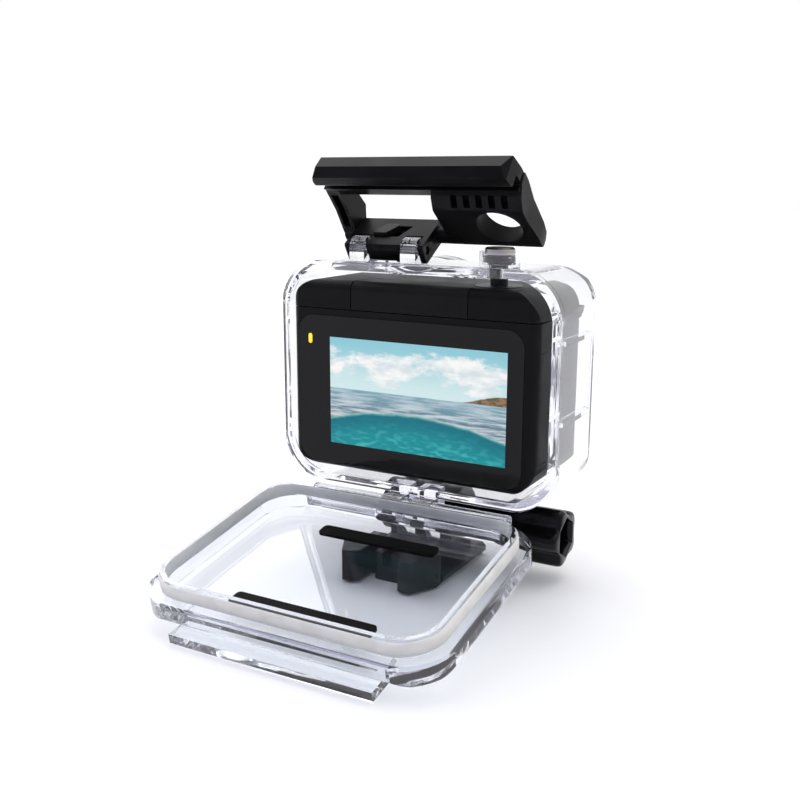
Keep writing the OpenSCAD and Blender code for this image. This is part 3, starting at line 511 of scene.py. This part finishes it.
screen_glass, tree, skin = start_material("screen_glass")
split = add(tree, "ShaderNodeSeparateXYZ")
put(tree, split.inputs[0], here(tree))
from_left = maths(tree, "SUBTRACT", split.outputs["X"], picture_middle.x - picture_w / 2)
from_foot = maths(tree, "SUBTRACT", split.outputs["Z"], picture_middle.z - picture_h / 2)
across = maths(tree, "DIVIDE", from_left, picture_w)
upward = maths(tree, "DIVIDE", from_foot, picture_h)
spot = add(tree, "ShaderNodeCombineXYZ")
put(tree, spot.inputs["X"], across)
put(tree, spot.inputs["Y"], upward)
spot = spot.outputs[0]
HORIZON = 0.53

# %% [markdown]
# ## Sky and coast
# The sky pales towards the horizon. Clouds are one noise cut off at a level, and the cut is lower
# half way up, where the bank of clouds is. The coast is a low hill with a ragged crest.

# %% Sky, clouds and coast
PALE_SKY = (0.66, 0.84, 0.86)
HIGH_SKY = (0.28, 0.60, 0.70)
blue = blend(tree, ramp(tree, upward, HORIZON, 1.0), PALE_SKY, HIGH_SKY)
puffs = noise(tree, stretched(tree, spot, 4.2, 5.2, 1), 1.0, 7, 0.6)
bank = ramp(tree, maths(tree, "ABSOLUTE", maths(tree, "SUBTRACT", upward, 0.76)), 0.0, 0.26, 0.17, -0.10)
cloud_mask = ramp(tree, maths(tree, "ADD", puffs, bank), 0.52, 0.66)
cloud_shade = blend(tree, ramp(tree, noise(tree, stretched(tree, spot, 9, 11, 1), 1.0, 6), 0.35, 0.65),
                    (0.70, 0.78, 0.82), (0.98, 0.98, 0.97))
heavens = blend(tree, cloud_mask, blue, cloud_shade)
crest = maths(tree, "ADD", HORIZON + 0.005, maths(
    tree, "MULTIPLY", ramp(tree, across, 0.74, 0.98), 0.085))
crest = maths(tree, "ADD", crest, maths(tree, "MULTIPLY", maths(
    tree, "SUBTRACT", noise(tree, stretched(tree, spot, 16, 0, 1), 1.0, 4), 0.5), 0.03))
coast_mask = maths(tree, "MULTIPLY", ramp(tree, maths(tree, "SUBTRACT", crest, upward), 0.0, 0.012),
                   ramp(tree, across, 0.73, 0.75))
scrub = ramp(tree, noise(tree, stretched(tree, spot, 26, 40, 1), 1.0, 5), 0.4, 0.6)
coast = blend(tree, scrub, (0.32, 0.19, 0.10), (0.13, 0.10, 0.05))
heavens = blend(tree, coast_mask, heavens, coast)

# %% [markdown]
# ## Sea and the water below
# The lens is half under water, so a bowed waterline crosses the picture. Above it noise stretched
# sideways makes ripples; below it cells make the net of light that the sun casts through waves.

# %% The sea's surface, the waterline and the water below
swell = noise(tree, stretched(tree, spot, 5.0, 34, 1), 1.0, 5, 0.6)
chop = blend(tree, ramp(tree, swell, 0.36, 0.64), (0.09, 0.20, 0.27), (0.66, 0.70, 0.75))
near_sea = ramp(tree, upward, 0.30, HORIZON, 0.0, 0.55)
surface = blend(tree, near_sea, chop, (0.30, 0.50, 0.60))
bow = maths(tree, "MULTIPLY", maths(tree, "POWER", maths(tree, "ABSOLUTE", maths(
    tree, "SUBTRACT", across, 0.47)), 2.0), -0.5)
ripple = maths(tree, "MULTIPLY", maths(tree, "SUBTRACT", noise(
    tree, stretched(tree, spot, 7, 0, 1), 1.0, 3), 0.5), 0.045)
waterline = maths(tree, "ADD", maths(tree, "ADD", 0.345, bow), ripple)
depth = maths(tree, "SUBTRACT", waterline, upward)
glints = add(tree, "ShaderNodeTexVoronoi", feature="SMOOTH_F1")
wander = add(tree, "ShaderNodeVectorMath", operation="ADD")
put(tree, wander.inputs[0], stretched(tree, spot, 15, 24, 1))
put(tree, wander.inputs[1], noise(tree, stretched(tree, spot, 8, 12, 1), 1.0, 3))
put(tree, glints.inputs["Vector"], wander.outputs[0])
put(tree, glints.inputs["Scale"], 1.6)
net = ramp(tree, glints.outputs["Distance"], 0.35, 0.75)
deep = blend(tree, ramp(tree, depth, 0.0, 0.24), (0.001, 0.16, 0.22), (0.005, 0.27, 0.31))
sunlit = maths(tree, "MULTIPLY", net, ramp(tree, depth, 0.05, 0.3, 0.05, 0.75))
under = blend(tree, sunlit, deep, (0.07, 0.52, 0.52))
film = maths(tree, "SUBTRACT", 1.0, ramp(tree, maths(tree, "ABSOLUTE", depth), 0.0, 0.022))
below = ramp(tree, depth, -0.004, 0.004)
water = blend(tree, below, surface, under)
water = blend(tree, maths(tree, "MULTIPLY", film, 0.55), water, (0.22, 0.55, 0.50))
seascape = blend(tree, ramp(tree, upward, HORIZON - 0.004, HORIZON + 0.004), water, heavens)

# %% [markdown]
# ## Lighting the picture
# The picture gives out light only inside its own frame; the glass round it stays dark. A mirror
# image of it in the open door would be brighter than on a real, dimmer screen, so it is turned
# down for light that has been reflected on its way.

# %% Light only inside the picture, on dark glass
MIRROR_DIMMING = 0.85


def inside(tree, value):
    """1 where value lies between 0 and 1."""
    above = maths(tree, "GREATER_THAN", value, 0.0)
    return maths(tree, "MULTIPLY", above, maths(tree, "LESS_THAN", value, 1.0))


lit = maths(tree, "MULTIPLY", inside(tree, across), inside(tree, upward))
reflections = add(tree, "ShaderNodeLightPath").outputs["Glossy Depth"]
mirrored = maths(tree, "MINIMUM", reflections, 1.0)
dimmed = maths(tree, "MULTIPLY", mirrored, MIRROR_DIMMING)
shown = maths(tree, "MULTIPLY", lit, maths(tree, "SUBTRACT", 1.0, dimmed))
put(tree, skin.inputs["Emission Color"], blend(tree, shown, (0, 0, 0), seascape))
skin.inputs["Emission Strength"].default_value = 0.95
put(tree, skin.inputs["Base Color"], blend(tree, lit, (0.0035, 0.0035, 0.0038), (0.002, 0.002, 0.002)))
marks = use(tree, handling, Smear=1.0)
put(tree, skin.inputs["Roughness"], maths(tree, "ADD", 0.07, maths(tree, "MULTIPLY", marks["Smudge"], 0.05)))
skin.inputs["Specular IOR Level"].default_value = 0.2
print("screen picture, mm:", round(picture_w / MM, 1), round(picture_h / MM, 1))

# %% [markdown]
# ## Lens, status light and the parts inside
# The lens glass has a coating that reflects violet and green. The status light is a lit yellow
# window. The circuit board, battery and sensor are hardly seen, but each still gets its own finish.

# %% Small finishes
coated_glass = clear_plastic(
    "coated_lens_glass", (0.80, 0.78, 0.95), (0.8, 0.8, 0.9), 1.6, 0.01, flow=False)

lamp_yellow, tree, skin = start_material("status_lamp")
glow = ramp(tree, noise(tree, here(tree), 900, 2), 0.2, 0.8)
put(tree, skin.inputs["Base Color"], blend(tree, glow, (0.75, 0.42, 0.02), (0.9, 0.6, 0.03)))
put(tree, skin.inputs["Emission Color"], blend(tree, glow, (0.9, 0.52, 0.012), (1.0, 0.66, 0.03)))
skin.inputs["Emission Strength"].default_value = 0.9

smoked_glass, tree, skin = start_material("front_smoked_glass")
marks = use(tree, handling, Smear=1.0)
smudged = blend(tree, marks["Smudge"], (0.006, 0.006, 0.008), (0.012, 0.012, 0.014))
put(tree, skin.inputs["Base Color"], smudged)
put(tree, skin.inputs["Roughness"], maths(tree, "ADD", 0.05, maths(tree, "MULTIPLY", marks["Smudge"], 0.08)))


def patterned(name, dark, light, scale, rough, metal=0.0):
    """A finish with two tones in cells of a given size, as on a board or a woven mesh."""
    mat, tree, skin = start_material(name)
    cells = add(tree, "ShaderNodeTexVoronoi", distance="CHEBYCHEV")
    put(tree, cells.inputs["Vector"], here(tree))
    put(tree, cells.inputs["Scale"], scale)
    step = ramp(tree, cells.outputs["Distance"], 0.3, 0.5)
    put(tree, skin.inputs["Base Color"], blend(tree, step, dark, light))
    put(tree, skin.inputs["Roughness"], ramp(tree, step, 0, 1, rough, rough + 0.15))
    skin.inputs["Metallic"].default_value = metal
    relief(tree, skin, step, 0.03 * MM)
    return mat


board_green = patterned("board_solder_mask", (0.01, 0.09, 0.04), (0.02, 0.16, 0.07), 700, 0.35)
battery_wrap = patterned("battery_wrap", (0.03, 0.03, 0.035), (0.05, 0.05, 0.055), 240, 0.45)
metal_mesh = patterned("microphone_metal_mesh", (0.02, 0.02, 0.02), (0.3, 0.3, 0.3), 3000, 0.35, 1.0)
print("finishes in all:", len(bpy.data.materials))

# %% [markdown]
# ## Finishes on the CAD parts
# The CAD parts keep their shapes. Each list below names the parts of one finish, and the last line
# says whether a part was forgotten.

# %% Give each CAD part its finish
finishes = {
    clear_case: ["front_shell", "port_ring"],
    clear_door: ["door_shell"],
    clear_port: ["port_glass"],
    seal_rubber: ["port_seal", "plunger_seal", "door_pad_upper", "door_pad_lower"],
    silicone: ["door_gasket"],
    steel: ["door_hinge_pin", "latch_pin", "hook_pin", "thumb_screw", "frame_screws"],
    dark_steel: ["plunger_clip", "plunger_spring"],
    latch_satin: ["latch_rocker", "hook_arm"],
    slider_satin: ["lock_slider"],
    stem_plastic: ["plunger_stem"],
    nickel: ["plunger_cap"],
    cover_rubber: ["camera_front_shell", "camera_rear_frame", "camera_corner_left", "camera_corner_right",
                   "camera_side_door"],
    strip_rubber: ["camera_top_strip"],
    screen_glass: ["rear_glass"],
    smoked_glass: ["front_window", "rear_display"],
    lamp_yellow: ["status_light"],
    lens_plastic: ["lens_surround", "lens_barrel"],
    coated_glass: ["lens_glass"],
    board_green: ["main_board", "image_sensor"],
    metal_mesh: ["microphone_mesh"],
    battery_wrap: ["battery"],
    aluminium: ["heat_spreader"],
    button_plastic: ["shutter_button", "side_button"],
    buckle_gloss: ["buckle"],
    brass: ["mount_nut"],
    knob_gloss: ["thumb_knob"],
}
for finish, names in finishes.items():
    for name in names:
        nodes[name].data.materials.clear()
        nodes[name].data.materials.append(finish)
unfinished = sorted(set(nodes) - {n for names in finishes.values() for n in names})
print("CAD parts without a finish:", unfinished)

# %% [markdown]
# ## Softened edges
# A moulded or turned part never has a razor edge, so its edges are rounded by a tenth or two of a
# millimetre: the imported triangles are first welded, then bevelled where two faces meet at an
# angle. Modifiers do this, so the CAD mesh under them stays as it is.

# %% Round the edges of the moulded parts
WELD_REACH = 0.002 * MM
SHARP_ANGLE = math.radians(35)
EDGE_MM = {
    "latch_rocker": 0.22, "hook_arm": 0.25, "lock_slider": 0.2,
    "buckle": 0.3, "camera_top_strip": 0.1, "camera_corner_left": 0.1,
    "camera_corner_right": 0.1, "camera_rear_frame": 0.12, "camera_side_door": 0.1,
    "side_button": 0.2, "shutter_button": 0.1, "door_pad_upper": 0.15, "door_pad_lower": 0.15,
    "front_shell": 0.15, "door_shell": 0.15, "port_ring": 0.15, "lens_surround": 0.2,
}


def soften(name, width):
    """Welds a CAD part's triangles and bevels its edges by a width in mm."""
    part = nodes[name]
    weld = part.modifiers.new("weld", "WELD")
    weld.merge_threshold = WELD_REACH
    round_over = part.modifiers.new("round_over", "BEVEL")
    round_over.width = width * MM
    round_over.segments = 2
    round_over.limit_method = "ANGLE"
    round_over.angle_limit = SHARP_ANGLE
    round_over.harden_normals = False
    even = part.modifiers.new("even_normals", "WEIGHTED_NORMAL")
    even.keep_sharp = False


for name, width in EDGE_MM.items():
    soften(name, width)
print("rounded:", len(EDGE_MM), "parts")

# %% [markdown]
# ## Pieces that are formed rather than machined
# The gasket and the knob have surfaces that flow. Each is laid out as rows of points: a row is one
# closed outline, and neighbouring rows are joined by a band of faces.

# %% Join rows of points into a piece


def from_rows(name, rows, ring, finish, crease):
    """A mesh through closed rows; ring joins the last row to the first, else both ends are closed."""
    n = len(rows[0])
    points = [p for row in rows for p in row]
    faces = []
    for i in range(len(rows) if ring else len(rows) - 1):
        low, high = i * n, (i + 1) % len(rows) * n
        faces += [(low + j, low + (j + 1) % n, high + (j + 1) % n, high + j) for j in range(n)]
    if not ring:
        faces += [tuple(range(n)), tuple(range(len(points) - n, len(points)))]
    mesh = bpy.data.meshes.new(name)
    mesh.from_pydata(points, [], faces)
    bm = bmesh.new()
    bm.from_mesh(mesh)
    bmesh.ops.recalc_face_normals(bm, faces=bm.faces)
    bm.to_mesh(mesh)
    bm.free()
    mesh.shade_smooth()
    mesh.set_sharp_from_angle(angle=math.radians(crease))
    mesh.materials.append(finish)
    piece = bpy.data.objects.new(name, mesh)
    scene.collection.objects.link(piece)
    print(name, len(mesh.polygons), "faces")
    return piece


# %% [markdown]
# ## Silicone gasket
# The gasket is a stretched sleeve, so its band is slightly crowned and its lips are rolled. It is
# laid out round the door as if the door were shut, from sizes taken off the CAD gasket, then turned
# out on the hinge. Along the hinge the band is lower, because there the camera's lower edge swings
# past it.

# %% Measure the CAD gasket with the door shut
hinge = next(j for j in frame["joints"] if j["name"] == "door_hinge")
hinge_at = Matrix.Translation(hinge["pos_m"])
door_shut = hinge_at @ Matrix.Rotation(math.radians(hinge["range_deg"][0]), 4, "X") @ hinge_at.inverted()
cad_gasket = nodes["door_gasket"]
shut = [door_shut @ cad_gasket.matrix_world @ v.co for v in cad_gasket.data.vertices]
band_low = Vector([min(p[i] for p in shut) for i in range(3)])
band_high = Vector([max(p[i] for p in shut) for i in range(3)])
print("gasket when shut, mm:", [round(c / MM, 2) for c in band_high - band_low])

# %% [markdown]
# ## Sleeve
# Each pair in the section is a depth in mm from the outer face and a share of the band's width.
# The section runs round the outline and keeps a hair's breadth off the clear wall.

# %% Lay the sleeve round the door
SLEEVE_CORNER = 8.85 * MM
HINGE_DROP = 0.5 * MM
HINGE_ZONE = 3 * MM
HINGE_FADE = 2.2 * MM


def outline(inset, steps=14):
    """Points (x, z) of a rounded rectangle that lies inside the CAD gasket's outer edge by inset."""
    radius = SLEEVE_CORNER - inset
    spots = []
    for turns, (sx, sz) in enumerate(((1, 1), (-1, 1), (-1, -1), (1, -1))):
        cx = band_high.x - SLEEVE_CORNER if sx > 0 else band_low.x + SLEEVE_CORNER
        cz = band_high.z - SLEEVE_CORNER if sz > 0 else band_low.z + SLEEVE_CORNER
        for k in range(steps + 1):
            a = math.radians(90 * (turns + k / steps))
            spots.append((cx + radius * math.cos(a), cz + radius * math.sin(a)))
    return spots


SECTION = [(0.26, 0.0), (0.06, 0.1), (0.0, 0.3), (0.0, 0.7), (0.06, 0.9), (0.22, 1.0), (0.42, 1.0),
           (0.52, 0.93), (0.52, 0.06), (0.42, 0.0)]
band = band_high.y - band_low.y
sleeve_rows = []
for inset_mm, part in SECTION:
    row = []
    for x, z in outline(inset_mm * MM):
        near_hinge = min(max((band_low.z + HINGE_ZONE - z) / HINGE_FADE, 0.0), 1.0)
        y = band_low.y + part * (band - HINGE_DROP * near_hinge)
        row.append(door_shut.inverted() @ Vector((x, y, z)))
    sleeve_rows.append(row)
gasket_sleeve = from_rows("gasket_sleeve", sleeve_rows, True, silicone, 60)
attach(gasket_sleeve, "door")
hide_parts("door_gasket")

# %% [markdown]
# ## Thumb knob
# The knob is moulded with five broad lobes that swell out of a round hub, so that a wet thumb can
# turn it. Its end holds a hexagonal socket, and the steel screw sits in a blind bore at the other
# end. Each row below is one slice across the knob's axis: its place, its mean radius and how far
# its lobes stand out, all in mm.

# %% Slice the knob from its bore to its socket
screw_axis = next(j for j in frame["joints"] if j["name"] == "screw_turn")["pos_m"]
knob_low, knob_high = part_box("thumb_knob")
KNOB_STEPS = 120
LOBES = 5
BORE_R = 2.5
BORE_DEPTH = 10.6
SOCKET_R = 4.6
SOCKET_DEPTH = 5
SOCKET_BEVEL = (0.15, 0.2)
SLICES = [(0.0, 4.15, 0.0), (0.3, 4.4, 0.0), (9.2, 4.4, 0.0), (10.4, 4.65, 0.02), (11.6, 5.2, 0.08),
          (12.8, 5.7, 0.3), (14.2, 5.95, 0.56), (16.0, 6.02, 0.76), (18.5, 5.98, 0.9), (22.5, 5.95, 0.95),
          (24.2, 5.92, 0.92), (24.75, 5.8, 0.86), (25.05, 5.62, 0.74), (25.2, 5.4, 0.58)]


def slice_row(x, radius_at):
    """One slice of the knob, x mm from its inner end, with a radius in mm for each angle."""
    row = []
    for k in range(KNOB_STEPS):
        a = math.tau * k / KNOB_STEPS
        r = radius_at(a) * MM
        y = screw_axis[1] + r * math.sin(a)
        z = screw_axis[2] + r * math.cos(a)
        row.append(Vector((knob_low.x + x * MM, y, z)))
    return row


def hexagon(a):
    """The radius of a hexagon with a corner at angle 0."""
    return SOCKET_R * math.cos(math.pi / 6) / math.cos((a % (math.pi / 3)) - math.pi / 6)


length = (knob_high.x - knob_low.x) / MM
knob_rows = [slice_row(BORE_DEPTH, lambda a: BORE_R), slice_row(0.0, lambda a: BORE_R)]
for x, r, lobe in SLICES:
    knob_rows.append(slice_row(x * length / SLICES[-1][0], lambda a: r - lobe * math.sin(LOBES * a)))
knob_rows.append(slice_row(length, lambda a: hexagon(a) + SOCKET_BEVEL[0]))
knob_rows.append(slice_row(length - SOCKET_BEVEL[1], hexagon))
knob_rows.append(slice_row(length - SOCKET_DEPTH, hexagon))
knob_grip = from_rows("knob_grip", knob_rows, False, knob_gloss, 50)
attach(knob_grip, "screw")
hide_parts("thumb_knob")

# %% [markdown]
# ## Plunger spring
# The return spring is a round wire wound into three turns. It is attached to the plunger and goes
# down with it as one piece.

# %% Wind the spring
spring_low, spring_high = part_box("plunger_spring")
spring_middle = (spring_low + spring_high) / 2
spring_length = spring_high.z - spring_low.z
WIRE_R = 0.2 * MM
TURNS = 3
SPRING_STEPS = 96
WIRE_SIDES = 12
coil_r = (spring_high.x - spring_low.x) / 2 - WIRE_R
spring_rows = []
for k in range(SPRING_STEPS + 1):
    turn = math.tau * TURNS * k / SPRING_STEPS
    wire_z = spring_low.z + WIRE_R + (spring_length - 2 * WIRE_R) * k / SPRING_STEPS
    row = []
    for i in range(WIRE_SIDES):
        a = math.tau * i / WIRE_SIDES
        r = coil_r + WIRE_R * math.cos(a)
        x = spring_middle.x + r * math.cos(turn)
        y = spring_middle.y + r * math.sin(turn)
        row.append(Vector((x, y, wire_z + WIRE_R * math.sin(a))))
    spring_rows.append(row)
return_spring = from_rows("return_spring", spring_rows, False, dark_steel, 50)
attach(return_spring, "plunger")
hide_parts("plunger_spring")
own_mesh(return_spring)

# %% [markdown]
# ## Floor
# A plain white sheet, large enough that its edge is lost in the white surround.

# %% Lay the floor
paper, tree, skin = start_material("white_floor")
tone = noise(tree, here(tree), 3, 3)
put(tree, skin.inputs["Base Color"], blend(tree, tone, (0.93, 0.93, 0.935), (0.95, 0.95, 0.95)))
skin.inputs["Roughness"].default_value = 0.55
bm = bmesh.new()
bmesh.ops.create_circle(bm, cap_ends=True, segments=96, radius=3)
floor_mesh = bpy.data.meshes.new("floor")
bm.to_mesh(floor_mesh)
bm.free()
floor = bpy.data.objects.new("floor", floor_mesh)
floor.data.materials.append(paper)
floor.location.z = cad_low[2]
scene.collection.objects.link(floor)
print("floor at, mm:", round(floor.location.z / MM, 3))
